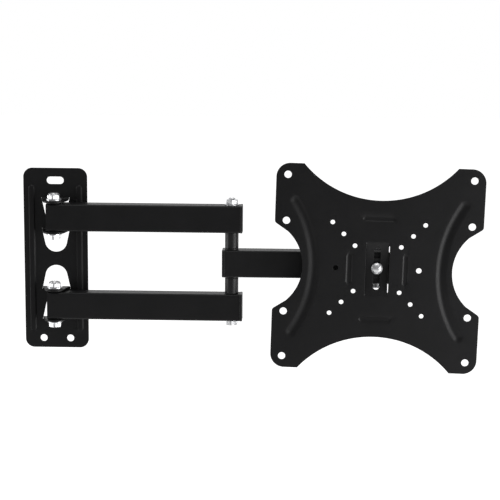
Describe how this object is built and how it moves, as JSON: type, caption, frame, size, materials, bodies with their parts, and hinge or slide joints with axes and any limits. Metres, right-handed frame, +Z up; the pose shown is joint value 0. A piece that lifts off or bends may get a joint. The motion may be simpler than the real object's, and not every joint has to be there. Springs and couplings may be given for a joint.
{
  "type": "full motion tv wall mount",
  "caption": "Folding wall mount for a small television: wall plate, paired long arms, short arm and a pressed plate that swivels, levels and tilts.",
  "frame": {"origin": "middle of the wall plate's back face, which lies on the wall", "axes": "+X along the stretched arms, +Y into the wall, +Z up; the television faces -Y"},
  "size_m": [0.506, 0.047, 0.23],
  "materials": {
    "black_paint": "satin black powder coat with a fine texture",
    "zinc": "bright zinc plate on steel",
    "black_plastic": "moulded black plastic, semi-matt"
  },
  "bodies": {
    "wall": {"wall_plate": "black_paint", "upper_hinge_bolt": "zinc", "upper_hinge_nut": "zinc", "upper_hinge_washer_top": "zinc", "upper_hinge_washer_bottom": "zinc", "lower_hinge_bolt": "zinc", "lower_hinge_nut": "zinc", "lower_hinge_washer_top": "zinc", "lower_hinge_washer_bottom": "zinc"},
    "long_arms": {"upper_long_arm": "black_paint", "upper_arm_cap": "black_plastic", "upper_hinge_bush_top": "black_plastic", "upper_hinge_bush_bottom": "black_plastic", "upper_elbow_spacer": "black_plastic", "lower_long_arm": "black_paint", "lower_arm_cap": "black_plastic", "lower_hinge_bush_top": "black_plastic", "lower_hinge_bush_bottom": "black_plastic", "lower_elbow_spacer": "black_plastic", "elbow_bolt": "zinc", "elbow_washer": "zinc", "elbow_nut": "zinc"},
    "short_arm": {"short_arm": "black_paint", "short_arm_cap": "black_plastic", "elbow_bush_top": "black_plastic", "elbow_bush_bottom": "black_plastic", "swivel_bush_top": "black_plastic", "swivel_bush_bottom": "black_plastic"},
    "swivel_head": {"swivel_bracket": "black_paint", "swivel_bolt": "zinc", "swivel_nut": "zinc", "swivel_washer_top": "zinc", "swivel_washer_bottom": "zinc"},
    "tilt_clamp": {"tilt_bolt": "zinc", "tilt_saddle": "black_paint", "tilt_washer": "zinc", "tilt_nut": "zinc"},
    "tv_plate": {"tv_plate": "black_paint"}
  },
  "joints": [
    {"name": "shoulder", "type": "hinge", "parent": "wall", "child": "long_arms", "pos_m": [0, -0.01506, 0], "axis": [0, 0, 1], "range_deg": [-180, 0]},
    {"name": "elbow", "type": "hinge", "parent": "long_arms", "child": "short_arm", "pos_m": [0.1965, -0.01506, 0], "axis": [0, 0, 1], "range_deg": [-120, 165]},
    {"name": "swivel", "type": "hinge", "parent": "short_arm", "child": "swivel_head", "pos_m": [0.3555, -0.01506, 0], "axis": [0, 0, -1], "range_deg": [-180, 4]},
    {"name": "level", "type": "hinge", "parent": "swivel_head", "child": "tilt_clamp", "pos_m": [0.3555, -0.04701, 0.0003], "axis": [0, 1, 0], "range_deg": [-6.6, 3.4]},
    {"name": "tilt", "type": "hinge", "parent": "tilt_clamp", "child": "tv_plate", "pos_m": [0.3555, -0.11601, 0.0003], "axis": [0.9997, 0, -0.0262], "range_deg": [-15, 15]}
  ]
}
